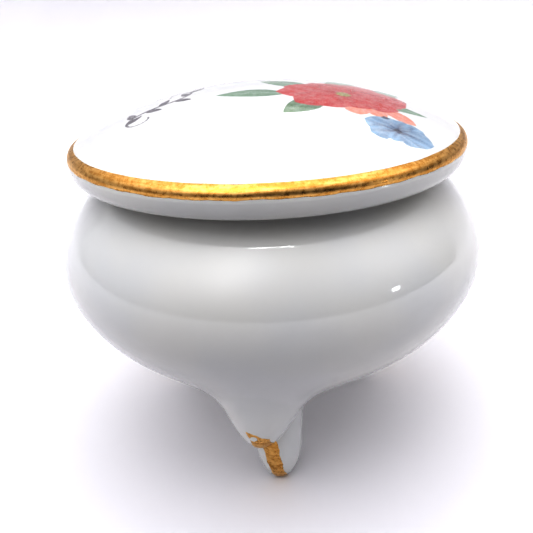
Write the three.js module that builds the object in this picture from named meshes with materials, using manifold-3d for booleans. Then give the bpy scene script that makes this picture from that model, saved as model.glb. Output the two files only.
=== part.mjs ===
// Porcelain trinket box: a squat round bowl on three cabriole feet, with a domed lift-off lid.
//
// Millimetres, +Z up. The origin is on the box's axis, on the surface that the feet stand on.
// One foot is at the front, on -Y, and the other two follow every 120 degrees.
// Every round piece is a section, given as (radius, height) points, turned about the axis.

import * as THREE from 'three';
import { mergeVertices } from 'three/addons/utils/BufferGeometryUtils.js';
import Module from 'manifold-3d';

const wasm = await Module();
wasm.setup();

// ---------------------------------------------------------------- driving dimensions

const TURN_SEGMENTS = 48; // facets round the axis, a multiple of 3 and of 4
const FIT_GAP = 0.1; // air between two pieces that touch

const BELLY_RADIUS = 38; // the bowl's widest circle
const BELLY_HEIGHT = 38.6; // height of that circle
const BOWL_RISE = 22.2; // from the belly to where the upper curve would close
const BOWL_DROP = 26.7; // from the belly to the bottom of the bowl
const BOWL_WALL = 3.0;
const RIM_END = 0.55; // how far along the upper curve the bowl ends at its mouth
const RIM_HEIGHT = 55.4;
const MOUTH_RADIUS = 22.5;

const LID_TOP = 67.4;
const LID_WALL = 3.6;
const BAND_TOP = { radius: 32.8, height: 59.6 }; // upper edge of the gold band
const BAND_FOOT = { radius: 34.2, height: 57.6 }; // lower edge of the gold band, the lid's widest
const BAND_THICKNESS = 0.3;
const LIP_BOTTOM = { radius: 32.5, height: 54.4 };
const SEAT_HEIGHT = 55.7; // the flat under the lid that rests on the bowl's rim
const SEAT_RADIUS = 28.6;
const HOLLOW_RADIUS = 18.6; // hollow under the dome, inside the flange
const HOLLOW_EDGE_HEIGHT = 60.4;

const FLANGE = { inner: 19.7, outer: 22.0, bottom: 52.1 };

const FOOT_RADIUS = 20.6; // from the axis to the middle of a foot's toe
const TOE_PAD_RADIUS = 1.5;
const TOE_SWEEP = 2.5; // the toe is carried this far sideways from the knee's plane
const SHANK_TOP = 19;
const KNEE_RADIUS = 26.4; // from the axis to the knee's tip
const KNEE_TIP_HEIGHT = 11;
const KNEE_LENGTH = 18;
const KNEE_FULLNESS = 2.3; // the knee's radius is this times the root of the distance from its tip
const KNEE_LEAN_IN = THREE.MathUtils.degToRad(12);
const KNEE_LEAN_ASIDE = THREE.MathUtils.degToRad(3);
const FOOT_SEGMENTS = 24;
const FOOT_GAP = 0.3; // joint between a foot and the bowl

const GILDING_THICKNESS = 0.3;
// The gold brush stroke down each foot, from its wide start on the knee to its end at the toe.
const STROKE_START = { side: 0.2, height: 14, width: 3.2 };
const STROKE_END = { side: 2.9, height: 0.4, width: 2.0 };

// ---------------------------------------------------------------- materials

const porcelain = new THREE.MeshStandardMaterial({ color: 0xf1f0ec, roughness: 0.08, metalness: 0 });
const gold = new THREE.MeshStandardMaterial({ color: 0xc4862e, roughness: 0.28, metalness: 1 });

// ---------------------------------------------------------------- helpers

const point = (radius, height) => new THREE.Vector2(radius, height);

// Turns a section about +Z. A section starts and ends on the axis, or its last point is its first.
function turned(section, segments = TURN_SEGMENTS) {
  const line = THREE.ShapeUtils.isClockWise(section) ? [...section].reverse() : section;
  return new THREE.LatheGeometry(line, segments).rotateX(Math.PI / 2);
}

function closed(section) {
  return [...section, section[0].clone()];
}

function bareSolid(geometry) {
  const bare = geometry.clone();
  bare.deleteAttribute('normal');
  bare.deleteAttribute('uv');
  const merged = mergeVertices(bare, 1e-4);
  return new wasm.Manifold(new wasm.Mesh({
    numProp: 3,
    vertProperties: new Float32Array(merged.attributes.position.array),
    triVerts: new Uint32Array(merged.index.array),
  }));
}

function geometryOf(solid) {
  const mesh = solid.getMesh();
  const geometry = new THREE.BufferGeometry();
  geometry.setAttribute('position', new THREE.BufferAttribute(mesh.vertProperties, 3));
  geometry.setIndex(new THREE.BufferAttribute(mesh.triVerts, 1));
  geometry.computeVertexNormals();
  return geometry;
}

function piece(name, geometry, material) {
  const mesh = new THREE.Mesh(geometry, material);
  mesh.name = name;
  return mesh;
}

// ---------------------------------------------------------------- bowl

const lowerCurve = new THREE.CubicBezierCurve(
  point(0, BELLY_HEIGHT - BOWL_DROP),
  point(0.4 * BELLY_RADIUS, BELLY_HEIGHT - BOWL_DROP),
  point(BELLY_RADIUS, BELLY_HEIGHT - 0.49 * BOWL_DROP),
  point(BELLY_RADIUS, BELLY_HEIGHT),
);
const upperCurve = new THREE.CubicBezierCurve(
  point(BELLY_RADIUS, BELLY_HEIGHT),
  point(BELLY_RADIUS, BELLY_HEIGHT + 0.5 * BOWL_RISE),
  point(0.585 * BELLY_RADIUS, BELLY_HEIGHT + BOWL_RISE),
  point(0, BELLY_HEIGHT + BOWL_RISE),
);

// A point of the curve, moved square to it: inwards into the bowl, or outwards if negative.
function offsetPoint(curve, t, inwards) {
  const along = curve.getTangent(t);
  return curve.getPoint(t).add(point(-along.y, along.x).multiplyScalar(inwards));
}

// The bowl's wall from the bottom's centre to the mouth, at one depth below the outer surface.
function wallLine(inwards, lowerSteps, upperSteps) {
  const line = [];
  for (let i = 0; i < lowerSteps; i += 1) {
    line.push(offsetPoint(lowerCurve, i / lowerSteps, inwards));
  }
  for (let i = 0; i <= upperSteps; i += 1) {
    line.push(offsetPoint(upperCurve, (RIM_END * i) / upperSteps, inwards));
  }
  return line;
}

function bowlGeometry() {
  const outside = wallLine(0, 10, 8);
  const rim = [
    point(24.8, RIM_HEIGHT),
    point(MOUTH_RADIUS + 0.4, RIM_HEIGHT),
    point(MOUTH_RADIUS, RIM_HEIGHT - 0.4),
    point(MOUTH_RADIUS, RIM_HEIGHT - 2.6),
  ];
  const inside = wallLine(BOWL_WALL, 8, 7).reverse();
  return turned([...outside, ...rim, ...inside]);
}

// The space that the feet must stay out of: the bowl filled in, with the joint's gap round it.
function bowlKeepOut() {
  const outside = wallLine(-FOOT_GAP, 10, 8);
  outside[0].x = 0;
  return bareSolid(turned([...outside, point(0, outside.at(-1).y)]));
}

// ---------------------------------------------------------------- feet

// A blunt toe that swells into a round shank, standing on a small flat pad.
function shankSolid(grow) {
  const outline = new THREE.SplineCurve([
    point(TOE_PAD_RADIUS, 0),
    point(2.4, 1.0),
    point(3.35, 3.0),
    point(3.9, 5.4),
    point(4.25, 9),
    point(4.4, 13),
    point(4.4, SHANK_TOP),
  ]).getPoints(8);
  const side = outline.map((p) => point(p.x + grow, p.y));
  const geometry = turned([point(0, 0), ...side, point(0, SHANK_TOP)], FOOT_SEGMENTS);
  return bareSolid(geometry.translate(TOE_SWEEP, -FOOT_RADIUS, 0));
}

// The knee: a full round drop whose tip hangs outside and above the toe.
function kneeSolid(grow) {
  const steps = 7;
  const side = [];
  for (let i = 1; i <= steps; i += 1) {
    const share = (i / steps) ** 2;
    const height = KNEE_LENGTH * share;
    side.push(point(KNEE_FULLNESS * Math.sqrt(height) + grow, height));
  }
  const geometry = turned([point(0, -grow), ...side, point(0, KNEE_LENGTH)], FOOT_SEGMENTS);
  geometry.rotateX(-KNEE_LEAN_IN).rotateY(KNEE_LEAN_ASIDE);
  return bareSolid(geometry.translate(0, -KNEE_RADIUS, KNEE_TIP_HEIGHT));
}

function footSolid(grow) {
  return shankSolid(grow).add(kneeSolid(grow));
}

// The slanting brush stroke seen from the front, as a slab that reaches from front to back.
function strokeSolid() {
  const corner = (place, way) => point(place.side + (way * place.width) / 2, place.height);
  const outline = new THREE.Shape([
    corner(STROKE_START, -1),
    corner(STROKE_END, -1),
    corner(STROKE_END, 1),
    corner(STROKE_START, 1),
  ]);
  const slab = new THREE.ExtrudeGeometry(outline, { depth: 14, bevelEnabled: false });
  return bareSolid(slab.rotateX(Math.PI / 2).translate(0, -FOOT_RADIUS - 1, 0));
}

const keepOut = bowlKeepOut();
const footGeometry = geometryOf(footSolid(0).subtract(keepOut));
const gildingGeometry = geometryOf(
  footSolid(FIT_GAP + GILDING_THICKNESS).subtract(footSolid(FIT_GAP)).intersect(strokeSolid()),
);

function foot(name, turn) {
  const group = new THREE.Group();
  group.rotation.z = turn;
  group.add(piece(name, footGeometry, porcelain));
  group.add(piece(`${name}_gilding`, gildingGeometry, gold));
  return group;
}

// ---------------------------------------------------------------- lid

const shoulder = new THREE.QuadraticBezierCurve(
  point(BAND_TOP.radius, BAND_TOP.height),
  point(BAND_FOOT.radius, BAND_FOOT.height + 1.4),
  point(BAND_FOOT.radius, BAND_FOOT.height),
);

// The shoulder's line at one depth under the gold's surface.
function shoulderLine(depth) {
  const steps = 4;
  const line = [];
  for (let i = 0; i <= steps; i += 1) {
    line.push(offsetPoint(shoulder, i / steps, -depth));
  }
  return line;
}

// Part of a sphere's section that passes through a top on the axis and through an edge point.
function domeLine(top, edge, steps) {
  const rise = top - edge.y;
  const sphere = (edge.x ** 2 + rise ** 2) / (2 * rise);
  const reach = Math.asin(edge.x / sphere);
  const line = [];
  for (let i = 0; i <= steps; i += 1) {
    const angle = (reach * i) / steps;
    line.push(point(sphere * Math.sin(angle), top - sphere + sphere * Math.cos(angle)));
  }
  return line;
}

function lidGeometry() {
  const dome = domeLine(LID_TOP, point(BAND_TOP.radius, BAND_TOP.height), 8);
  const groove = shoulderLine(BAND_THICKNESS + FIT_GAP);
  const lip = new THREE.QuadraticBezierCurve(
    point(BAND_FOOT.radius, BAND_FOOT.height - FIT_GAP),
    point(BAND_FOOT.radius, LIP_BOTTOM.height + 0.6),
    point(LIP_BOTTOM.radius, LIP_BOTTOM.height),
  ).getPoints(4);
  const underside = [
    point(LIP_BOTTOM.radius - 1.1, LIP_BOTTOM.height),
    point(LIP_BOTTOM.radius - 2.6, LIP_BOTTOM.height + 0.8),
    point(SEAT_RADIUS, SEAT_HEIGHT),
    point(HOLLOW_RADIUS + 0.4, SEAT_HEIGHT),
    point(HOLLOW_RADIUS, SEAT_HEIGHT + 0.4),
  ];
  const hollow = domeLine(LID_TOP - LID_WALL, point(HOLLOW_RADIUS, HOLLOW_EDGE_HEIGHT), 5).reverse();
  return turned([...dome, ...groove, ...lip, ...underside, ...hollow]);
}

function goldBandGeometry() {
  return turned(closed([...shoulderLine(0), ...shoulderLine(BAND_THICKNESS).reverse()]));
}

function flangeGeometry() {
  const top = SEAT_HEIGHT - FIT_GAP;
  return turned(closed([
    point(FLANGE.inner, top),
    point(FLANGE.outer, top),
    point(FLANGE.outer, FLANGE.bottom + 0.5),
    point(FLANGE.outer - 0.5, FLANGE.bottom),
    point(FLANGE.inner + 0.4, FLANGE.bottom),
    point(FLANGE.inner, FLANGE.bottom + 0.4),
  ]));
}

// ---------------------------------------------------------------- the whole box

const box = new THREE.Group();
box.add(piece('bowl', bowlGeometry(), porcelain));
box.add(foot('foot_front', 0));
box.add(foot('foot_rear_right', (2 * Math.PI) / 3));
box.add(foot('foot_rear_left', (-2 * Math.PI) / 3));
box.add(piece('lid', lidGeometry(), porcelain));
box.add(piece('lid_flange', flangeGeometry(), porcelain));
box.add(piece('lid_gold_band', goldBandGeometry(), gold));

export default box;
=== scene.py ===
"""Looks for the porcelain trinket box: fine meshes, glaze, gilding and print, round the CAD model.

Lengths are in millimetres in the model's own frame, +Z up, until new_mesh() turns them into metres.
Sizes inside a material are in metres, as Blender's nodes see them. The front foot is on -Y.
A section is a row of (radius, height) points that is turned about the box's axis.
"""

import itertools
import math

import bpy
import numpy as np
from mathutils import Matrix, Vector


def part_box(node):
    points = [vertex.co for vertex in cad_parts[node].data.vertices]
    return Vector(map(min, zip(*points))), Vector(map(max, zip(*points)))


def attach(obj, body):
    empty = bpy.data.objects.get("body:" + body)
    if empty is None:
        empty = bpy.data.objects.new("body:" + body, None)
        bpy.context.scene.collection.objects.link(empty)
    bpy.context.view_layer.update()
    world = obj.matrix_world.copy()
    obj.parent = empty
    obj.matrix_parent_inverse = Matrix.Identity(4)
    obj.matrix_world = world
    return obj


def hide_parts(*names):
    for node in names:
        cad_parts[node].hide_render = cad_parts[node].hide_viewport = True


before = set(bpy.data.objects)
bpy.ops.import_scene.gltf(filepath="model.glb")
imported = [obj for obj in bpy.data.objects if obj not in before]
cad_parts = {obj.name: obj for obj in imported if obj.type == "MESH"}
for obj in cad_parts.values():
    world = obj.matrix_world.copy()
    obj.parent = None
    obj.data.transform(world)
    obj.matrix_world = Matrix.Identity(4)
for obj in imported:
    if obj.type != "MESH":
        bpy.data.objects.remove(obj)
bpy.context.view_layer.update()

METRE = 1000.0  # in millimetres

# ---------------------------------------------------------------- sizes of the CAD model


def extent(node):
    """A CAD node's widest radius, lowest height and highest height."""
    low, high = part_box(node)
    return high.x * METRE, low.z * METRE, high.z * METRE


BELLY_RADIUS, BOWL_BOTTOM, RIM_HEIGHT = extent("bowl")
LID_RADIUS, LIP_HEIGHT, LID_TOP = extent("lid")
FLANGE_RADIUS, FLANGE_BOTTOM, FLANGE_TOP = extent("lid_flange")
_, BAND_FOOT_HEIGHT, BAND_TOP_HEIGHT = extent("lid_gold_band")

BELLY_HEIGHT = BOWL_BOTTOM + 26.7
BOWL_CLOSE = BELLY_HEIGHT + 22.2  # where the bowl's upper curve would close over its mouth
BOWL_WALL = 3.0
MOUTH_RADIUS = 22.5
MOUTH_FLOOR = 45.0  # the straight mouth ends above this, where the hollow has opened out
RIM_OUTER_RADIUS = 26.0

FOOT_TURNS = {"foot_front": 0, "foot_rear_right": 120, "foot_rear_left": -120}
SHANK_PLACE = (2.5, -20.6)
SHANK_RADIUS = 4.4
SHANK_TOP = 22.0
TOE_PAD_RADIUS = 1.5
TOE_TAPER = 2.9  # the shank reaches its full radius over a few times this height
KNEE_TIP = np.array([0.0, -26.4, 11.0])
KNEE_FULLNESS = 2.3  # the knee's radius is this times the root of the distance from its tip
KNEE_LEAN_IN = math.radians(12)
KNEE_LEAN_ASIDE = math.radians(3)
KNEE_LENGTH = 20.0
KNEE_TOP_ROUNDING = 6.0

KNEE_FILLET = 6.5  # how widely the glaze flows between the bowl and a knee
SHANK_FILLET = 1.5
RIM_ROUNDING = 1.3
PAD_ROUNDING = 0.9

BAND_TOP_RADIUS = 32.8
HOLLOW_RADIUS = 18.6
HOLLOW_EDGE_HEIGHT = 60.4
LID_WALL = 3.6
SEAT_HEIGHT = 55.7
SEAT_RADIUS = 28.6
FLANGE_WALL = 2.3

# ---------------------------------------------------------------- mesh code


def new_mesh(name, points, faces, material):
    """A smooth mesh object in the scene, from points in millimetres."""
    mesh = bpy.data.meshes.new(name)
    mesh.from_pydata((np.asarray(points) / METRE).tolist(), [], faces)
    mesh.shade_smooth()
    mesh.materials.append(material)
    made = bpy.data.objects.new(name, mesh)
    bpy.context.scene.collection.objects.link(made)
    return made


def new_piece(name, points, faces, material, body, normals=None, attributes=None):
    """A piece of the box, riding on a CAD body. Attributes hold a number or a colour for each point."""
    made = new_mesh(name, points, faces, material)
    for label, values in (attributes or {}).items():
        is_colour = values.ndim == 2
        store = made.data.attributes.new(label, "FLOAT_COLOR" if is_colour else "FLOAT", "POINT")
        store.data.foreach_set("color" if is_colour else "value", values.astype(np.float32).ravel())
    if normals is not None:
        made.data.normals_split_custom_set_from_vertices(normals.tolist())
    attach(made, body)
    return made


def bezier(controls, share):
    """A Bézier curve's points at an array of shares, from its control points."""
    order = len(controls) - 1
    share = np.asarray(share, float)[..., None]
    terms = [
        math.comb(order, i) * share**i * (1 - share) ** (order - i) * np.asarray(control, float)
        for i, control in enumerate(controls)
    ]
    return sum(terms)


def bezier_slope(controls, share):
    """How fast the curve's point moves with its share."""
    controls = np.asarray(controls, float)
    return (len(controls) - 1) * bezier(np.diff(controls, axis=0), share)


def beside(controls, share, depth):
    """Points of a curve, moved square to it, to the left of its direction."""
    slope = bezier_slope(controls, share)
    slope /= np.linalg.norm(slope, axis=-1, keepdims=True)
    return bezier(controls, share) + depth * np.stack([-slope[..., 1], slope[..., 0]], -1)


def arc(top, edge, steps):
    """Part of a sphere's section, from its top on the axis to an edge point."""
    rise = top - edge[1]
    sphere = (edge[0] ** 2 + rise**2) / (2 * rise)
    angle = np.linspace(0, math.asin(edge[0] / sphere), steps)
    return np.stack([sphere * np.sin(angle), top - sphere + sphere * np.cos(angle)], -1)


def softened(line, rounds=3):
    """A polyline with its corners cut again and again, which leaves smooth bends. Its ends stay."""
    line = np.asarray(line, float)
    for _ in range(rounds):
        early = 0.75 * line[:-1] + 0.25 * line[1:]
        late = 0.25 * line[:-1] + 0.75 * line[1:]
        cut = np.stack([early, late], 1).reshape(-1, 2)
        line = np.concatenate([line[:1], cut[1:-1], line[-1:]])
    return line


def turned(section, segments, closed=False):
    """Points and faces of a section turned about the axis. An open one starts and ends on the axis."""
    section = np.asarray(section, float)
    rings = section if closed else section[1:-1]
    angle = np.arange(segments) * (2 * math.pi / segments)
    circle = np.stack([np.cos(angle), np.sin(angle)], -1)
    flat = rings[:, None, :1] * circle
    high = np.broadcast_to(rings[:, None, 1:], flat.shape[:2] + (1,))
    points = np.concatenate([flat, high], -1).reshape(-1, 3)
    here = np.arange(segments)
    there = (here + 1) % segments
    faces = []
    for i in range(len(rings) if closed else len(rings) - 1):
        a, b = i * segments, (i + 1) % len(rings) * segments
        faces += np.stack([a + here, a + there, b + there, b + here], -1).tolist()
    if not closed:
        first, last = len(points), len(points) + 1
        ends = [[0, 0, section[0, 1]], [0, 0, section[-1, 1]]]
        points = np.concatenate([points, ends])
        outer = (len(rings) - 1) * segments
        faces += [[first, int(j), int(i)] for i, j in zip(here, there)]
        faces += [[last, int(outer + i), int(outer + j)] for i, j in zip(here, there)]
    return points, faces


# ---------------------------------------------------------------- implicit surfaces


def blend_lowest(a, b, width):
    """The lower of two values, with a smooth fillet where they are within that width."""
    near = np.maximum(width - np.abs(a - b), 0) / width
    return np.minimum(a, b) - near**3 * width / 6


def blend_highest(a, b, width):
    """The higher of two values, with a smooth round where they are within that width."""
    return -blend_lowest(-a, -b, width)


def curve_distance(controls, place, coarse=28, rounds=3):
    """Distance from each (radius, height) place to a curve, below zero to the left of its direction."""
    tries = np.linspace(0, 1, coarse)
    share = np.zeros(len(place))
    nearest = np.full(len(place), np.inf)
    for attempt, at in zip(tries, bezier(controls, tries)):
        gap = ((place - at) ** 2).sum(-1)
        closer = gap < nearest
        share[closer] = attempt
        nearest[closer] = gap[closer]
    bends = np.diff(np.asarray(controls, float), 2, axis=0)
    for _ in range(rounds):  # Newton's steps towards the nearest point
        slope = bezier_slope(controls, share)
        gap = bezier(controls, share) - place
        bend = 6 * bezier(bends, share)
        speed = (slope**2).sum(-1)
        steep = np.maximum(speed + (gap * bend).sum(-1), 0.3 * speed)
        share = np.clip(share - (gap * slope).sum(-1) / steep, 0, 1)
    gap = place - bezier(controls, share)
    slope = bezier_slope(controls, share)
    outwards = gap[:, 0] * slope[:, 1] - gap[:, 1] * slope[:, 0]
    return np.sign(outwards) * np.linalg.norm(gap, axis=-1)


# How far each handle of the bowl's two curves reaches, as a share of the curve's radius or height.
BOTTOM_HANDLE = 0.4
BELLY_HANDLE_DOWN = 0.49
BELLY_HANDLE_UP = 0.5
CLOSE_HANDLE = 0.585
LOWER_CURVE = [
    (0, BOWL_BOTTOM),
    (BOTTOM_HANDLE * BELLY_RADIUS, BOWL_BOTTOM),
    (BELLY_RADIUS, BELLY_HEIGHT - BELLY_HANDLE_DOWN * (BELLY_HEIGHT - BOWL_BOTTOM)),
    (BELLY_RADIUS, BELLY_HEIGHT),
]
UPPER_CURVE = [
    (BELLY_RADIUS, BELLY_HEIGHT),
    (BELLY_RADIUS, BELLY_HEIGHT + BELLY_HANDLE_UP * (BOWL_CLOSE - BELLY_HEIGHT)),
    (CLOSE_HANDLE * BELLY_RADIUS, BOWL_CLOSE),
    (0, BOWL_CLOSE),
]


def egg(points):
    """Distance outside the bowl's outer curve, which closes over the mouth like an egg."""
    place = np.stack([np.hypot(points[:, 0], points[:, 1]), points[:, 2]], -1)
    lower, upper = curve_distance(LOWER_CURVE, place), curve_distance(UPPER_CURVE, place)
    return np.where(np.abs(lower) < np.abs(upper), lower, upper)


def knee(points):
    """Distance outside the full round drop at the top of the front foot."""
    lean = Matrix.Rotation(KNEE_LEAN_ASIDE, 3, "Y") @ Matrix.Rotation(-KNEE_LEAN_IN, 3, "X")
    along = lean @ Vector((0, 0, 1))
    gap = points - KNEE_TIP
    height = gap @ np.array(along)
    across = (gap**2).sum(-1) - height**2
    drop = (across - KNEE_FULLNESS**2 * height) / np.sqrt(4 * across + KNEE_FULLNESS**4)
    return blend_highest(drop, height - KNEE_LENGTH, KNEE_TOP_ROUNDING)


def shank(points):
    """Distance outside the front foot's shank, which tapers to its toe."""
    flare = np.exp(-np.clip(points[:, 2], -1, None) / TOE_TAPER)
    radius = SHANK_RADIUS - (SHANK_RADIUS - TOE_PAD_RADIUS) * flare
    side = np.hypot(points[:, 0] - SHANK_PLACE[0], points[:, 1] - SHANK_PLACE[1]) - radius
    return np.maximum(side / np.sqrt(1 + flare**2), points[:, 2] - SHANK_TOP)


def in_foot_frame(points, turn):
    """The points turned back to the front foot from a foot that many degrees round the axis."""
    return points @ np.array(Matrix.Rotation(math.radians(turn), 3, "Z"))


def foot(points, turn=0):
    """Distance outside one foot, with its flat pad on the ground."""
    own = in_foot_frame(points, turn)
    shape = blend_lowest(knee(own), shank(own), SHANK_FILLET)
    return blend_highest(shape, -points[:, 2], PAD_ROUNDING)


def bowl_with_feet(points):
    """Distance outside the bowl and its three feet, as the one piece that they are after firing."""
    outside = egg(points)
    body = outside
    for turn in FOOT_TURNS.values():
        body = blend_lowest(body, foot(points, turn), KNEE_FILLET)
    body = blend_highest(body, points[:, 2] - RIM_HEIGHT, RIM_ROUNDING)
    radius = np.hypot(points[:, 0], points[:, 1])
    mouth = np.maximum(radius - MOUTH_RADIUS, MOUTH_FLOOR - points[:, 2])
    hollow = blend_lowest(outside + BOWL_WALL, mouth, RIM_ROUNDING)
    return blend_highest(body, -hollow, RIM_ROUNDING)


def gradient(function, points, step=0.01):
    """How the function grows along x, y and z."""
    ways = np.eye(3) * step
    return np.stack([(function(points + way) - function(points - way)) / (2 * step) for way in ways], -1)


def net_points(value, low, step):
    """One point in each grid cell that the surface crosses, and each cell's number, or -1."""
    cells = tuple(n - 1 for n in value.shape)
    total, count = np.zeros(cells + (3,)), np.zeros(cells)
    for axis in range(3):
        for sides in itertools.product((0, 1), repeat=2):
            start = np.insert(sides, axis, 0)
            end = np.insert(sides, axis, 1)
            first = value[tuple(slice(s, s + n) for s, n in zip(start, cells))]
            second = value[tuple(slice(s, s + n) for s, n in zip(end, cells))]
            crossed = (first < 0) != (second < 0)
            total[crossed] += start
            total[crossed, axis] += first[crossed] / (first[crossed] - second[crossed])
            count += crossed
    found = np.argwhere(count > 0)
    number = np.full(cells, -1)
    number[tuple(found.T)] = np.arange(len(found))
    inside = total[count > 0] / count[count > 0][:, None]
    return low + (found + inside) * step, number


def net_faces(value, number):
    """A quad round each grid edge that the surface crosses, with its outside outwards."""
    faces = []
    for axis in range(3):
        others = [i for i in range(3) if i != axis]
        first = value.take(range(value.shape[axis] - 1), axis)
        second = value.take(range(1, value.shape[axis]), axis)
        crossed = (first < 0) != (second < 0)
        for other in others:
            crossed.swapaxes(0, other)[[0, -1]] = False
        edge = np.argwhere(crossed)
        corners = []
        for back in ((1, 1), (0, 1), (0, 0), (1, 0)):
            cell = edge.copy()
            cell[:, others] -= back
            corners.append(number[tuple(cell.T)])
        quads = np.stack(corners, -1)
        leaving = (first[crossed] < 0) == (axis != 1)
        quads[~leaving] = quads[~leaving][:, ::-1]
        faces += quads.tolist()
    return faces


def surface(function, low, high, step):
    """Points, faces and normals of a function's zero surface inside a box."""
    low = np.asarray(low, float)
    axes = [np.arange(a, b + step, step) for a, b in zip(low, high)]
    grid = np.stack(np.meshgrid(*axes, indexing="ij"), -1)
    layers = [function(layer.reshape(-1, 3)).reshape(layer.shape[:2]) for layer in grid]
    value = np.stack(layers)
    points, number = net_points(value, low, step)
    for _ in range(4):  # draws the points onto the surface itself
        slope = gradient(function, points)
        away = function(points) / np.maximum((slope**2).sum(-1), 0.05)
        points = points - slope * np.clip(away, -step, step)[:, None]
    slope = gradient(function, points)
    slope /= np.linalg.norm(slope, axis=-1, keepdims=True)
    return points, net_faces(value, number), slope


# ---------------------------------------------------------------- materials


def material(name):
    """A new node material: its tree, and its one Principled shader."""
    made = bpy.data.materials.new(name)
    made.use_nodes = True
    return made, made.node_tree, made.node_tree.nodes["Principled BSDF"]


def node(tree, kind, sockets=None, **settings):
    """Adds a node. Each of its sockets, by name or number, gets a value or a link from a socket."""
    made = tree.nodes.new(kind)
    for label, value in settings.items():
        setattr(made, label, value)
    for label, value in (sockets or {}).items():
        if isinstance(value, bpy.types.NodeSocket):
            tree.links.new(value, made.inputs[label])
        else:
            made.inputs[label].default_value = value
    return made


def object_place(tree, scale=(1, 1, 1)):
    """The surface's place in metres in the object's own frame, stretched by a scale."""
    place = node(tree, "ShaderNodeTexCoord").outputs["Object"]
    return node(tree, "ShaderNodeMapping", {"Vector": place, "Scale": scale}).outputs["Vector"]


def noise(tree, place, scale, detail=2.0, roughness=0.5):
    """Smooth noise from 0 to 1, with that many bumps to the metre."""
    sockets = {"Vector": place, "Scale": scale, "Detail": detail, "Roughness": roughness}
    return node(tree, "ShaderNodeTexNoise", sockets).outputs["Fac"]


def ranged(tree, value, source, target):
    """Moves a value smoothly from one range to another."""
    sockets = {
        "Value": value,
        "From Min": source[0],
        "From Max": source[1],
        "To Min": target[0],
        "To Max": target[1],
    }
    kind = "SMOOTHSTEP"
    return node(tree, "ShaderNodeMapRange", sockets, interpolation_type=kind).outputs["Result"]


def maths(tree, operation, first, second=0.0):
    """The outcome of one sum on two values or sockets."""
    return node(tree, "ShaderNodeMath", {0: first, 1: second}, operation=operation).outputs[0]


def mixed(tree, share, first, second, how="MIX"):
    """A mix of two colours. At share 1 it is the second."""
    sockets = {0: share, 6: first, 7: second}
    return node(tree, "ShaderNodeMix", sockets, data_type="RGBA", blend_type=how).outputs[2]


def attribute(tree, name, output):
    """A number ("Fac") or a colour ("Color") that new_piece() has stored on the mesh."""
    return node(tree, "ShaderNodeAttribute", attribute_name=name).outputs[output]


def bump(tree, height, distance, strength=1.0, under=None):
    """A normal that follows a height of at most that distance in metres, laid over another normal."""
    sockets = {"Height": height, "Distance": distance, "Strength": strength}
    if under is not None:
        sockets["Normal"] = under
    return node(tree, "ShaderNodeBump", sockets).outputs["Normal"]


SPECK_CORE = 0.6  # a speck is at its full colour inside this share of its radius


def specks(tree, place, scale, radius, share):
    """1 inside small specks: one in some of the cells of a scattered pattern."""
    cells = node(tree, "ShaderNodeTexVoronoi", {"Vector": place, "Scale": scale})
    chosen = node(tree, "ShaderNodeSeparateColor", {"Color": cells.outputs["Color"]}).outputs["Red"]
    inside = ranged(tree, cells.outputs["Distance"], (radius, radius * SPECK_CORE), (0, 1))
    return maths(tree, "MULTIPLY", inside, maths(tree, "LESS_THAN", chosen, share))


GLAZE_WARM = (0.730, 0.725, 0.704, 1)
GLAZE_COOL = (0.698, 0.702, 0.702, 1)
BISQUE = (0.70, 0.67, 0.62, 1)
BISQUE_ROUGHNESS = 0.62
IRON_SPECK = (0.16, 0.1, 0.06, 1)


def glaze(tree, shader):
    """Clear glaze on white porcelain, bare where the "bare" attribute is 1. Returns its colour."""
    place = object_place(tree)
    bare = attribute(tree, "bare", "Fac")
    pool = ranged(tree, noise(tree, place, scale=55), (0.3, 0.7), (0, 1))
    colour = mixed(tree, pool, GLAZE_WARM, GLAZE_COOL)
    iron = specks(tree, place, scale=190, radius=0.045, share=0.10)
    colour = mixed(tree, iron, colour, IRON_SPECK)
    colour = mixed(tree, bare, colour, BISQUE)
    smear = ranged(tree, noise(tree, place, scale=140, detail=3.0), (0.35, 0.75), (0.045, 0.1))
    rough = maths(tree, "MAXIMUM", smear, maths(tree, "MULTIPLY", bare, BISQUE_ROUGHNESS))
    tree.links.new(rough, shader.inputs["Roughness"])
    ripple = bump(tree, noise(tree, place, scale=420, detail=1.0), distance=0.00002, strength=0.5)
    grain = maths(tree, "MULTIPLY", noise(tree, place, scale=5200), bare)
    skin = bump(tree, grain, distance=0.00006, under=ripple)
    tree.links.new(skin, shader.inputs["Normal"])
    shader.inputs["IOR"].default_value = 1.52
    shader.inputs["Coat Weight"].default_value = 0.25
    shader.inputs["Coat Roughness"].default_value = 0.03
    return colour


def porcelain_material():
    """The plain glaze of the bowl, its feet and the lid's flange."""
    made, tree, shader = material("porcelain_glaze")
    tree.links.new(glaze(tree, shader), shader.inputs["Base Color"])
    return made


PRINT_RAGGED = 0.35  # in millimetres, like the edge distance that it is added to
PRINT_SOFTNESS = 0.09


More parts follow.
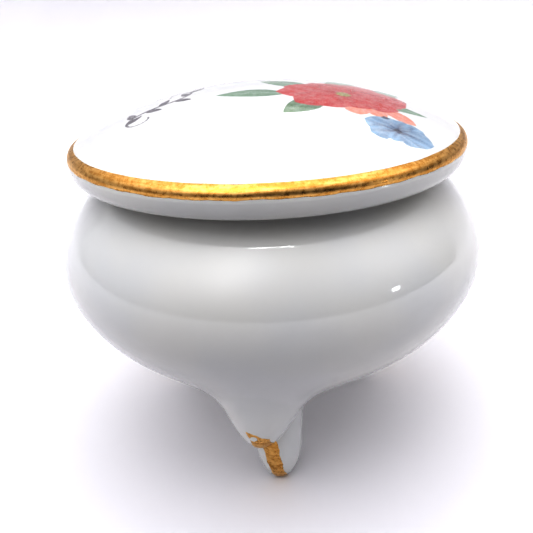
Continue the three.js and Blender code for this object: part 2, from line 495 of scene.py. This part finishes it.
def printed_material():
    """The glaze with the lid's transfer print: dots of colour, paler where the ink lies thin."""
    made, tree, shader = material("printed_porcelain_glaze")
    colour = glaze(tree, shader)
    place = object_place(tree)
    unevenness = maths(tree, "SUBTRACT", noise(tree, place, scale=2600), 0.5)
    ragged = maths(tree, "MULTIPLY", unevenness, PRINT_RAGGED)
    edge = maths(tree, "ADD", attribute(tree, "print_edge", "Fac"), ragged)
    cover = ranged(tree, edge, (PRINT_SOFTNESS, -PRINT_SOFTNESS), (0, 1))
    blotches = noise(tree, place, scale=700, detail=3.0, roughness=0.6)
    wash = ranged(tree, blotches, (0.3, 0.75), (0.97, 0.78))
    dots = node(tree, "ShaderNodeTexVoronoi", {"Vector": place, "Scale": 4200}).outputs["Distance"]
    grain = ranged(tree, dots, (0.2, 0.7), (1.0, 0.86))
    cover = maths(tree, "MULTIPLY", cover, maths(tree, "MULTIPLY", wash, grain))
    colour = mixed(tree, cover, colour, attribute(tree, "print_colour", "Color"))
    tree.links.new(colour, shader.inputs["Base Color"])
    return made


GOLD_DEEP = (0.55, 0.32, 0.10, 1)
GOLD_BRIGHT = (0.78, 0.53, 0.24, 1)
GOLD_BURNT = (0.10, 0.055, 0.03, 1)
GOLD_WEAR = 0.7  # how burnt and how matt a worn speck is


def gold_material():
    """Fired-on gold, laid round the rim with a loaded brush: streaky, mottled and a little worn."""
    made, tree, shader = material("brushed_gilding")
    round_rim = object_place(tree, (0.25, 0.25, 3.0))
    place = object_place(tree)
    streak = noise(tree, round_rim, scale=900, detail=3.0, roughness=0.6)
    mottle = noise(tree, place, scale=1300, detail=4.0, roughness=0.65)
    shade = ranged(tree, maths(tree, "ADD", streak, mottle), (0.75, 1.25), (0, 1))
    colour = mixed(tree, shade, GOLD_DEEP, GOLD_BRIGHT)
    worn = specks(tree, place, scale=420, radius=0.09, share=0.05)
    wear = maths(tree, "MULTIPLY", worn, GOLD_WEAR)
    colour = mixed(tree, wear, colour, GOLD_BURNT)
    tree.links.new(colour, shader.inputs["Base Color"])
    rough = ranged(tree, mottle, (0.3, 0.7), (0.24, 0.36))
    tree.links.new(maths(tree, "MAXIMUM", rough, wear), shader.inputs["Roughness"])
    shader.inputs["Metallic"].default_value = 1.0
    brushed = bump(tree, streak, distance=0.00002, strength=0.25)
    pits = noise(tree, place, scale=4200)
    grain = bump(tree, pits, distance=0.000012, strength=0.5, under=brushed)
    tree.links.new(grain, shader.inputs["Normal"])
    return made


# ---------------------------------------------------------------- bowl and feet


BOWL_MESH_STEP = 0.6
BOWL_MESH_MARGIN = 1.0
BARE_MARGIN = 0.2  # bare clay reaches this far past the surfaces that touch
PAD_HEIGHT = 0.12  # the toe pads are bare up to here


def between(value, low, high, soft=0.15):
    """1 from low to high and 0 beyond, with soft ends."""
    return np.clip((value - low) / soft + 0.5, 0, 1) * np.clip((high - value) / soft + 0.5, 0, 1)


def make_bowl(glazed):
    """The bowl with its feet, bare where the lid sits on its rim and where it stands in the kiln."""
    reach = BELLY_RADIUS + BOWL_MESH_MARGIN
    low = (-reach, -reach, -BOWL_MESH_MARGIN)
    high = (reach, reach, RIM_HEIGHT + BOWL_MESH_MARGIN)
    points, faces, normals = surface(bowl_with_feet, low, high, BOWL_MESH_STEP)
    radius, height = np.hypot(points[:, 0], points[:, 1]), points[:, 2]
    rim = between(radius, MOUTH_RADIUS - BARE_MARGIN, RIM_OUTER_RADIUS)
    rim *= between(height, RIM_HEIGHT - 0.3, RIM_HEIGHT + 1)
    marks = {"bare": np.maximum(rim, between(height, -1, PAD_HEIGHT))}
    made = new_piece("bowl_with_feet", points, faces, glazed, "base", normals, marks)
    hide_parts("bowl", *FOOT_TURNS)


GILDING_MESH_STEP = 0.16
GILDING_LOW = (-3.6, -31.6, -0.4)  # the box round the front foot's gilding
GILDING_HIGH = (6.0, -19.0, 17.6)
GILDING_PROUD = 0.05
GILDING_SUNK = 0.28
STROKE_TOP = {"side": 0.3, "height": 16.3, "width": 3.5}
STROKE_END = {"side": 2.9, "height": 0.2, "width": 2.3}
STROKE_SLANT = 0.5  # how much lower the stroke's top is for each millimetre to the right
STROKE_RAGGED = 0.16
STROKE_BACK = 0.5  # the gold stops this far in front of the middle of the shank
WORN_SPOT = (-0.5, 15.2)
WORN_RADIUS = 0.62
FIRST_STROKE_SEED = 20
STROKE_SEED_STEP = 10


def wobble(phase, seed, waves=(1.0, 2.3, 4.1)):
    """A smooth ragged line from -1 to 1, from a few sine waves with seeded phases."""
    draw = np.random.default_rng(seed)
    shifts = draw.uniform(0, 2 * math.pi, len(waves))
    shares = [1 / (i + 1) for i in range(len(waves))]
    total = sum(
        np.sin(wave * phase + shift) * share for wave, shift, share in zip(waves, shifts, shares)
    )
    return total / sum(shares)


def stroke(points, seed):
    """Distance outside the brush stroke down the front foot, seen from its front."""
    side, height = points[:, 0], points[:, 2]
    share = (STROKE_TOP["height"] - height) / (STROKE_TOP["height"] - STROKE_END["height"])
    middle = STROKE_TOP["side"] + (STROKE_END["side"] - STROKE_TOP["side"]) * share
    width = STROKE_TOP["width"] + (STROKE_END["width"] - STROKE_TOP["width"]) * share
    sides = np.abs(side - middle) - width / 2 + STROKE_RAGGED * wobble(height * 1.7, seed)
    top = height - STROKE_TOP["height"] + STROKE_SLANT * side + 0.2 * wobble(side * 2.2, seed + 1)
    worn = WORN_RADIUS + 0.2 * wobble(side * 3 + height * 4, seed + 2)
    hole = np.hypot(side - WORN_SPOT[0], height - WORN_SPOT[1]) - worn
    behind = points[:, 1] - SHANK_PLACE[1] + STROKE_BACK
    return np.maximum.reduce([sides, top, -hole, behind])


def make_foot_gilding(foot_name, turn, seed, gold):
    """A thin skin of gold on the foot, with ragged edges and a worn spot on the knee."""

    def skin(points):
        outside = blend_lowest(egg(points), foot(points), KNEE_FILLET)
        layer = np.maximum(outside - GILDING_PROUD, -outside - GILDING_SUNK)
        return np.maximum(layer, stroke(points, seed))

    points, faces, normals = surface(skin, GILDING_LOW, GILDING_HIGH, GILDING_MESH_STEP)
    spin = np.array(Matrix.Rotation(math.radians(turn), 3, "Z"))
    points, normals = points @ spin.T, normals @ spin.T
    made = new_piece(f"{foot_name}_gold", points, faces, gold, "base", normals)
    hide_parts(f"{foot_name}_gilding")


# ---------------------------------------------------------------- lid

LID_SEGMENTS = 512
SHOULDER = [
    (BAND_TOP_RADIUS, BAND_TOP_HEIGHT),
    (LID_RADIUS, BAND_FOOT_HEIGHT + 1.4),
    (LID_RADIUS, BAND_FOOT_HEIGHT),
]
LIP = [
    (LID_RADIUS, BAND_FOOT_HEIGHT - 0.1),
    (LID_RADIUS, LIP_HEIGHT + 0.6),
    (LID_RADIUS - 1.7, LIP_HEIGHT),
]
GOLD_DEPTH = 0.07  # the porcelain under the gold band lies this far in
MIDDLE_OF_SEAT = 24.0
BARE_SEAT_INNER = 22.4


def lid_section():
    """The lid's section, from the top of its dome down over the lip to the middle of its hollow."""
    dome = arc(LID_TOP, SHOULDER[0], 131)
    shoulder = beside(SHOULDER, np.linspace(0.05, 1, 12), -GOLD_DEPTH)
    lip = bezier(LIP, np.linspace(0, 1, 14))
    hollow = arc(LID_TOP - LID_WALL, (HOLLOW_RADIUS - 1.5, HOLLOW_EDGE_HEIGHT + 0.5), 24)[::-1]
    underside = softened(
        [
            LIP[2],
            (LID_RADIUS - 2.8, LIP_HEIGHT),
            (LID_RADIUS - 4.3, LIP_HEIGHT + 0.8),
            (SEAT_RADIUS, SEAT_HEIGHT),
            (MIDDLE_OF_SEAT, SEAT_HEIGHT),
            (HOLLOW_RADIUS + 0.4, SEAT_HEIGHT),
            (HOLLOW_RADIUS, SEAT_HEIGHT + 0.4),
            (HOLLOW_RADIUS, HOLLOW_EDGE_HEIGHT - 0.6),
            hollow[0],
        ]
    )
    return np.concatenate([dome, shoulder, lip, underside[1:-1], hollow])


def petal(place, root, turn, length, width, bend, fullness):
    """How far along a petal each place is, how far across, and the distance outside its edge."""
    turn = math.radians(turn)
    gap = place - np.asarray(root, float)
    along = (gap[:, 0] * math.cos(turn) + gap[:, 1] * math.sin(turn)) / length
    across = gap[:, 1] * math.cos(turn) - gap[:, 0] * math.sin(turn) - bend * along**2
    share = np.clip(along, 0, 1)
    half = width / 2 * np.sin(math.pi * share**fullness) ** 0.8
    outside = np.maximum(np.abs(across) - half, np.maximum(-along, along - 1) * length)
    return share, across / (width / 2), outside


RED = np.array([0.52, 0.040, 0.034])
RED_DEEP = np.array([0.33, 0.020, 0.022])
SALMON = np.array([0.72, 0.34, 0.25])
SALMON_DEEP = np.array([0.50, 0.13, 0.10])
LEAF = np.array([0.20, 0.32, 0.21])
LEAF_DEEP = np.array([0.09, 0.18, 0.12])
LEAF_FRESH = np.array([0.15, 0.24, 0.12])
BLUE = np.array([0.29, 0.42, 0.56])
BLUE_DEEP = np.array([0.07, 0.085, 0.15])
POLLEN = np.array([0.42, 0.36, 0.10])
INK = np.array([0.10, 0.09, 0.11])

RED_FLOWER = (13.6, -5.8)
BLUE_FLOWER = (21.6, -16.4)

# Each petal or leaf: root, direction in degrees, length, width, bend, then its two colours.
LEAVES = [
    ((4.5, -8.6), 176, 11.2, 3.9, 0.5, LEAF, LEAF_DEEP),
    ((8.0, -4.0), 150, 9.6, 4.4, 0.6, LEAF, LEAF_DEEP),
    ((10.6, -10.4), 222, 8.4, 4.6, 0.8, LEAF_FRESH, LEAF_DEEP),
    ((12.0, -1.5), 78, 9.5, 5.0, -1.0, LEAF, LEAF_DEEP),
    ((17.5, -2.0), 52, 10.0, 4.6, 0.9, LEAF, LEAF_DEEP),
    ((17.5, -6.4), -2, 9.4, 3.2, 0.4, LEAF, LEAF_DEEP),
]
SALMON_PETALS = [
    ((15.2, -9.4), 278, 4.6, 3.6, 0.2, SALMON, SALMON_DEEP),
    ((17.2, -8.0), 334, 8.6, 3.2, -0.7, SALMON, SALMON_DEEP),
    ((16.6, -8.8), 305, 5.4, 3.0, 0.3, SALMON, SALMON_DEEP),
]
RED_PETALS = [
    (RED_FLOWER, turn, length, width, bend, RED, RED_DEEP)
    for turn, length, width, bend in (
        (8, 10.4, 7.0, 0.6),
        (30, 11.6, 7.4, -0.5),
        (62, 10.2, 7.4, 0.5),
        (100, 7.6, 6.6, 0.4),
        (138, 8.0, 6.8, -0.4),
        (168, 9.8, 6.4, 0.5),
        (192, 10.8, 6.0, -0.3),
        (220, 9.8, 6.4, 0.5),
        (247, 7.8, 6.2, -0.4),
        (283, 6.0, 6.6, 0.2),
        (318, 6.8, 6.6, 0.3),
        (345, 9.0, 6.6, -0.4),
    )
]
RED_HEART = [
    (RED_FLOWER, 18 + 45 * i, 5.4 - 0.6 * (i % 2), 4.6, 0.3, RED, RED_DEEP) for i in range(8)
]
BLUE_PETALS = [
    (BLUE_FLOWER, turn, length, width, bend, BLUE, BLUE_DEEP)
    for turn, length, width, bend in (
        (28, 4.6, 4.2, 0.3),
        (84, 3.8, 4.4, -0.2),
        (128, 4.4, 4.4, 0.3),
        (168, 5.0, 4.4, -0.4),
        (206, 4.6, 4.0, 0.3),
        (250, 3.2, 2.6, 0.2),
        (316, 4.4, 3.8, 0.4),
        (352, 5.2, 4.6, -0.3),
    )
]
# Each heart or bud: middle, radius, colour.
HEARTS = ((RED_FLOWER, 1.2, POLLEN), (BLUE_FLOWER, 0.6, BLUE_DEEP), ((19.9, -12.9), 0.5, BLUE_DEEP))
LEAF_FULLNESS = 0.8  # a leaf is widest near its root
PETAL_FULLNESS = 1.7  # a petal is widest near its tip
MARGIN = 0.5  # a colour reaches this far past its edge, so that none of the white mixes into it
NO_PRINT = 9.0  # an edge distance where no ink reaches
PRINT_SEED = 11
MIDRIB_LIGHT = 0.16
BLUE_VEIN = 0.8


ROOT_DARK, VEIN_DARK, EDGE_DARK = 0.45, 0.22, 0.35


def shaded(share, across, base, deep, draw):
    """A petal's colour: deeper at its root and edges, with veins that run along it."""
    veins = 0.5 + 0.5 * np.cos(across * 9 + draw.uniform(0, 6) + 1.5 * share)
    border = np.clip(np.abs(across) - 0.55, 0, 1)
    dark = ROOT_DARK * (1 - share) ** 1.5 + VEIN_DARK * veins + EDGE_DARK * border
    dark = np.clip(dark + draw.uniform(-0.08, 0.12), 0, 1)[:, None]
    return base * (1 - dark) + deep * dark


def line_along(across, width):
    """1 on the middle line of a petal, and less to each side of it."""
    return np.exp(-((across / width) ** 2))


def print_spray(place):
    """Colours and edge distance of the spray of flowers at each (x, y) of the lid."""
    draw = np.random.default_rng(PRINT_SEED)
    shapes = LEAVES + SALMON_PETALS + RED_PETALS + RED_HEART + BLUE_PETALS
    laid = []
    for root, turn, length, width, bend, base, deep in shapes:
        is_leaf = base is LEAF or base is LEAF_FRESH
        fullness = LEAF_FULLNESS if is_leaf else PETAL_FULLNESS
        share, across, outside = petal(place, root, turn, length, width, bend, fullness)
        colour = shaded(share, across, base, deep, draw)
        if is_leaf:
            midrib = line_along(across, 0.10) * (1 - share)
            colour += MIDRIB_LIGHT * midrib[:, None]
        if base is BLUE:
            vein = BLUE_VEIN * line_along(across, 0.13) * np.clip(1.3 - 1.6 * share, 0, 1)
            colour = colour * (1 - vein[:, None]) + BLUE_DEEP * vein[:, None]
        laid.append((outside, colour))
    for centre, radius, base in HEARTS:
        gap = (place - np.asarray(centre)).T
        stamens = 0.75 + 0.35 * np.sin(8 * np.arctan2(*gap))
        laid.append((np.hypot(*gap) - radius, base * stamens[:, None]))
    edge = np.full(len(place), NO_PRINT)
    colour = np.ones((len(place), 3)) * LEAF
    for reach in (MARGIN, 0.0):
        for outside, shade in laid:
            covered = (outside < reach) & ((reach == 0) | (edge > 0))
            colour[covered] = shade[covered]
            edge = np.minimum(edge, outside)
    return colour, edge


SPRIG_MIDDLE = (-16.2, -8.0)
SPRIG_BEARING = math.radians(24)
SPRIG_REACH = 2.7
SPRIG_SIZE = 5.0
SPRIG_CURL = 0.66
SPRIG_LEAVES = 7
SPRIG_LEAF_LENGTH = 3.4
SPRIG_LEAF_WIDTH = 1.5
SPRIG_LEAF_TURN = 50
SPRIG_STEM = 0.16  # half the stem's width at its ends; it is twice that in its middle


def sprig_edge(place):
    """Distance outside the pen-drawn sprig: a curled stem with small leaves on either side by turns."""
    way = np.linspace(-SPRIG_REACH, SPRIG_REACH, 300)
    bearing = SPRIG_BEARING + SPRIG_CURL * way**2
    steps = np.stack([np.cos(bearing), np.sin(bearing)], -1) * (way[1] - way[0]) * SPRIG_SIZE
    line = np.cumsum(steps, 0)
    line += SPRIG_MIDDLE - line[len(line) // 2]
    edge = np.full(len(place), NO_PRINT)
    for at, half in zip(line, SPRIG_STEM + SPRIG_STEM * line_along(way, 1.1)):
        edge = np.minimum(edge, np.hypot(*(place - at).T) - half)
    for i, step in enumerate(np.linspace(-1.5, 1.5, SPRIG_LEAVES)):
        near = np.argmin(np.abs(way - step))
        side = 1 if i % 2 else -1
        turn = math.degrees(bearing[near]) + SPRIG_LEAF_TURN * side
        size = (SPRIG_LEAF_LENGTH, SPRIG_LEAF_WIDTH, 0.2 * side, LEAF_FULLNESS)
        _, _, outside = petal(place, line[near], turn, *size)
        edge = np.minimum(edge, outside)
    return edge


def make_lid(printed):
    """The lid with its print, bare where it sits on the bowl."""
    points, faces = turned(lid_section(), LID_SEGMENTS)
    radius = np.hypot(points[:, 0], points[:, 1])
    colour = np.zeros((len(points), 4))
    colour[:, 3] = 1
    edge = np.full(len(points), NO_PRINT)
    on_dome = (radius < BAND_TOP_RADIUS) & (points[:, 2] > BAND_TOP_HEIGHT - 0.01)
    place = points[on_dome, :2]
    spray, spray_edge = print_spray(place)
    ink_edge = sprig_edge(place)
    colour[on_dome, :3] = np.where((ink_edge < spray_edge)[:, None], INK, spray)
    edge[on_dome] = np.minimum(spray_edge, ink_edge)
    bare = between(radius, BARE_SEAT_INNER, SEAT_RADIUS - 0.4)
    bare *= between(points[:, 2], SEAT_HEIGHT - BARE_MARGIN, SEAT_HEIGHT + BARE_MARGIN)
    marks = {"print_colour": colour, "print_edge": edge, "bare": bare}
    made = new_piece("printed_lid", points, faces, printed, "lid_top", None, marks)
    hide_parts("lid")


FLANGE_SEGMENTS = 256


def make_flange(glazed):
    """The ring under the lid that drops into the bowl's mouth, with soft glazed edges."""
    inner = FLANGE_RADIUS - FLANGE_WALL
    section = softened(
        [
            (inner, FLANGE_TOP),
            (FLANGE_RADIUS, FLANGE_TOP),
            (FLANGE_RADIUS, FLANGE_BOTTOM + 1.6),
            (FLANGE_RADIUS, FLANGE_BOTTOM),
            (inner + 1.1, FLANGE_BOTTOM),
            (inner, FLANGE_BOTTOM),
            (inner, FLANGE_BOTTOM + 1.6),
            (inner, FLANGE_TOP),
        ]
    )[::-1]
    points, faces = turned(section[:-1], FLANGE_SEGMENTS, closed=True)
    bare = between(points[:, 2], FLANGE_BOTTOM - 1, FLANGE_BOTTOM + 0.15)
    made = new_piece("flange", points, faces, glazed, "lid_seat", None, {"bare": bare})
    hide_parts("lid_flange")


BAND_SEGMENTS = 960
BAND_STEPS = 14
BAND_START, BAND_END = -0.05, 1  # where its edges lie, as shares of the shoulder's curve
BAND_EDGE_DEPTH = 1.25 * GOLD_DEPTH  # the edges dip into the porcelain, so that no gap shows
BAND_SUNK_DEPTH = 2.2 * GOLD_DEPTH


def make_gold_band(gold):
    """The gilded rim: a thin skin on the lid's shoulder, whose edges wander as the brush did."""
    angle = np.arange(BAND_SEGMENTS) * (2 * math.pi / BAND_SEGMENTS)
    start = BAND_START + 0.05 * wobble(angle * 7, 3) + 0.03 * wobble(angle * 31, 4)
    end = BAND_END + 0.03 * wobble(angle * 9, 5) + 0.025 * wobble(angle * 37, 6)
    across = np.linspace(0, 1, BAND_STEPS)
    share = start[:, None] + (end - start)[:, None] * across
    feather = np.sin(math.pi * across) ** 0.5
    outer = beside(SHOULDER, share, -BAND_EDGE_DEPTH * (1 - feather)[None, :, None])
    inner = beside(SHOULDER, share[:, ::-1], -BAND_SUNK_DEPTH)
    section = np.concatenate([outer, inner[:, 1:-1]], 1)
    count = section.shape[1]
    radius, height = section[..., 0], section[..., 1]
    flat = [radius * np.cos(angle)[:, None], radius * np.sin(angle)[:, None]]
    points = np.stack([*flat, height], -1).reshape(-1, 3)
    here = np.arange(BAND_SEGMENTS * count).reshape(BAND_SEGMENTS, count)
    onward = np.roll(here, -1, 0)
    quads = np.stack([here, np.roll(here, -1, 1), np.roll(onward, -1, 1), onward], -1)
    faces = quads.reshape(-1, 4).tolist()
    made = new_piece("gilded_rim", points, faces, gold, "lid_top")
    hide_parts("lid_gold_band")


# ---------------------------------------------------------------- stage, light and camera


PAPER_LIGHT = (0.75, 0.74, 0.75, 1)
PAPER_DARK = (0.72, 0.71, 0.73, 1)


def paper_material():
    """Matt, nearly white paper with hardly any mottle."""
    made, tree, shader = material("pale_backdrop")
    place = object_place(tree)
    tone = ranged(tree, noise(tree, place, scale=3), (0.3, 0.7), (0, 1))
    colour = mixed(tree, tone, PAPER_LIGHT, PAPER_DARK)
    tree.links.new(colour, shader.inputs["Base Color"])
    shader.inputs["Roughness"].default_value = 0.9
    shader.inputs["Specular IOR Level"].default_value = 0.15
    return made


BACKDROP_HALF_WIDTH = 2500.0
BACKDROP_FRONT = -6000.0
BACKDROP_BACK = 900.0  # where the floor starts to curve up
BACKDROP_CURVE = 350.0
BACKDROP_HEIGHT = 900.0


def make_backdrop():
    """A pale floor that curves up behind the box."""
    bend = np.linspace(0, math.pi / 2, 17)
    out, up = BACKDROP_CURVE * np.sin(bend), BACKDROP_CURVE * (1 - np.cos(bend))
    rise = np.stack([BACKDROP_BACK + out, up], -1)
    top = (BACKDROP_BACK + BACKDROP_CURVE, BACKDROP_HEIGHT)
    line = np.concatenate([[(BACKDROP_FRONT, 0.0)], rise, [top]])
    points = [(side * BACKDROP_HALF_WIDTH, y, z) for y, z in line for side in (-1, 1)]
    faces = [[2 * i, 2 * i + 1, 2 * i + 3, 2 * i + 2] for i in range(len(line) - 1)]
    new_mesh("backdrop", points, faces, paper_material())


def add_area_light(name, place, target, size, power):
    """A rectangular soft light at a place in millimetres, facing a target."""
    lamp = bpy.data.lights.new(name, "AREA")
    lamp.shape = "RECTANGLE"
    lamp.size, lamp.size_y = size[0] / METRE, size[1] / METRE
    lamp.energy = power
    lamp.color = LAMP_COLOUR
    made = bpy.data.objects.new(name, lamp)
    made.location = Vector(place) / METRE
    aim = Vector(target) - Vector(place)
    made.rotation_mode = "QUATERNION"
    made.rotation_quaternion = aim.to_track_quat("-Z", "Y")
    bpy.context.scene.collection.objects.link(made)


BELLY_CENTRE = (0, 0, 40)
ROOM_COLOUR = (0.98, 0.98, 1.0, 1)
LAMP_COLOUR = (1.0, 1.0, 1.0)

# Each glow in the room: where it is in degrees round from the front and degrees up, how tight it
# is (a power of the cosine of the angle from its middle), and how strong.
ROOM_GLOWS = {
    "ceiling": (0, 90, 2, 1.3),
    "ceiling_middle": (0, 90, 8, 0.60),
    "ceiling_light": (0, 80, 30, 0.72),
    "rear_light": (180, 62, 10, 0.35),
    "front_light": (-15, 58, 24, 1.5),
    "low_front_light": (-20, 40, 30, 1.0),
    "front_left_light": (-50, 50, 8, 0.95),
    "right_light": (85, 45, 8, 1.50),
    "left_light": (-95, 45, 8, 0.24),
    "left_wall": (-90, 15, 2, 0.60),
    "back_wall": (180, 15, 2, 1.20),
}

# Each lamp, seen as a bright reflection: where it is from the belly as degrees round from the
# front, degrees up and distance, then its width, its depth and its power.
LAMPS = {
    "ceiling_tube": (8, 70, 1340, 420, 12, 0.3),
    "side_window": (69, 9, 800, 60, 44, 0.14),
}


def direction(around, up):
    """The way to a place that many degrees round from the front, towards +X, and that many up."""
    around, up = math.radians(around), math.radians(up)
    return Vector((math.cos(up) * math.sin(around), -math.cos(up) * math.cos(around), math.sin(up)))


def make_room():
    """Soft light from all round, a sum of broad glows: bright above and dark low down in front."""
    world = bpy.data.worlds.new("room")
    world.use_nodes = True
    tree = world.node_tree
    way = node(tree, "ShaderNodeTexCoord").outputs["Generated"]
    total = 0.0
    for around, up, tightness, strength in ROOM_GLOWS.values():
        ends = {0: way, 1: direction(around, up)}
        facing = node(tree, "ShaderNodeVectorMath", ends, operation="DOT_PRODUCT").outputs["Value"]
        glow = maths(tree, "POWER", maths(tree, "MAXIMUM", facing, 0.0), tightness)
        total = maths(tree, "ADD", total, maths(tree, "MULTIPLY", glow, strength))
    background = tree.nodes["Background"]
    background.inputs["Color"].default_value = ROOM_COLOUR
    tree.links.new(total, background.inputs["Strength"])
    bpy.context.scene.world = world


def make_lamps():
    """Two small lamps, which add hardly any light but leave their shapes as highlights on the glaze."""
    for name, (around, up, distance, width, depth, power) in LAMPS.items():
        place = Vector(BELLY_CENTRE) + direction(around, up) * distance
        add_area_light(name, place, BELLY_CENTRE, (width, depth), power)


# Painted shade: an unseen dark sheet that stands in for the shade of a dark room in front of the box,
# not a real cloth.
SHADE_SHEET_COLOUR = (0.08, 0.08, 0.09, 1)
SHADE_SHEET_BACK = -72
SHADE_SHEET_FRONT = -420
SHADE_SHEET_HALF_WIDTH = 240
SHADE_SHEET_HEIGHT = 0.5


def shade_sheet_material():
    """Painted shade: dark when seen from above, and clear from below, so that it does not shade the
    floor.
    """
    made, tree, shader = material("painted_shade_sheet")
    shader.inputs["Base Color"].default_value = SHADE_SHEET_COLOUR
    shader.inputs["Roughness"].default_value = 0.9
    clear = node(tree, "ShaderNodeBsdfTransparent").outputs["BSDF"]
    below = node(tree, "ShaderNodeNewGeometry").outputs["Backfacing"]
    both = node(tree, "ShaderNodeMixShader", {0: below, 1: shader.outputs["BSDF"], 2: clear})
    tree.links.new(both.outputs["Shader"], tree.nodes["Material Output"].inputs["Surface"])
    return made


def make_shade_sheet():
    """An unseen dark sheet low in front, which keeps the floor's light off the bowl's lower half:
    painted shade for a dark room.
    """
    corners = [
        (side * SHADE_SHEET_HALF_WIDTH, y, SHADE_SHEET_HEIGHT)
        for side, y in ((-1, SHADE_SHEET_FRONT), (1, SHADE_SHEET_FRONT), (1, SHADE_SHEET_BACK), (-1, SHADE_SHEET_BACK))
    ]
    sheet = new_mesh("shade_sheet", corners, [[0, 1, 2, 3]], shade_sheet_material())
    sheet.visible_camera = False
    sheet.visible_glossy = False


CONTRAST = 1.8  # the power that the picture's tones are raised to
FOCAL_LENGTH = 40.53
SENSOR_WIDTH = 36.0
CAMERA_AROUND = math.radians(7.5)  # from straight in front, towards +X
CAMERA_ABOVE = 0.3878  # this and the three turns below are in radians
CAMERA_DISTANCE = 115.0
CAMERA_AIM_HEIGHT = 38.6
CAMERA_PAN = 0.0092
CAMERA_TILT = -0.0478
CAMERA_ROLL = -0.047
CLIP_NEAR = 5.0
CLIP_FAR = 10000.0


def make_camera():
    """A camera that looks at the belly, is turned a little off it, and is held slightly askew."""
    lens = bpy.data.cameras.new("camera")
    lens.lens = FOCAL_LENGTH
    lens.sensor_width = SENSOR_WIDTH
    lens.clip_start = CLIP_NEAR / METRE
    lens.clip_end = CLIP_FAR / METRE
    made = bpy.data.objects.new("camera", lens)
    bpy.context.scene.collection.objects.link(made)
    orbit = Matrix.Rotation(CAMERA_AROUND, 4, "Z")
    lift = Matrix.Rotation(math.pi / 2 - CAMERA_ABOVE, 4, "X")
    back = Matrix.Translation((0, 0, CAMERA_DISTANCE / METRE))
    aim = Matrix.Rotation(CAMERA_PAN, 4, "Y") @ Matrix.Rotation(CAMERA_TILT, 4, "X")
    roll = Matrix.Rotation(CAMERA_ROLL, 4, "Z")
    belly = Matrix.Translation((0, 0, CAMERA_AIM_HEIGHT / METRE))
    made.matrix_world = belly @ orbit @ lift @ back @ aim @ roll
    bpy.context.scene.camera = made


# ---------------------------------------------------------------- the whole scene

glazed = porcelain_material()
printed = printed_material()
gold = gold_material()

make_camera()
make_bowl(glazed)
for order, (foot_name, turn) in enumerate(FOOT_TURNS.items()):
    make_foot_gilding(foot_name, turn, FIRST_STROKE_SEED + STROKE_SEED_STEP * order, gold)
make_lid(printed)
make_flange(glazed)
make_gold_band(gold)
make_backdrop()
make_room()
make_lamps()
make_shade_sheet()

view_settings = bpy.context.scene.view_settings
view_settings.view_transform = "Standard"
view_settings.gamma = 1 / CONTRAST
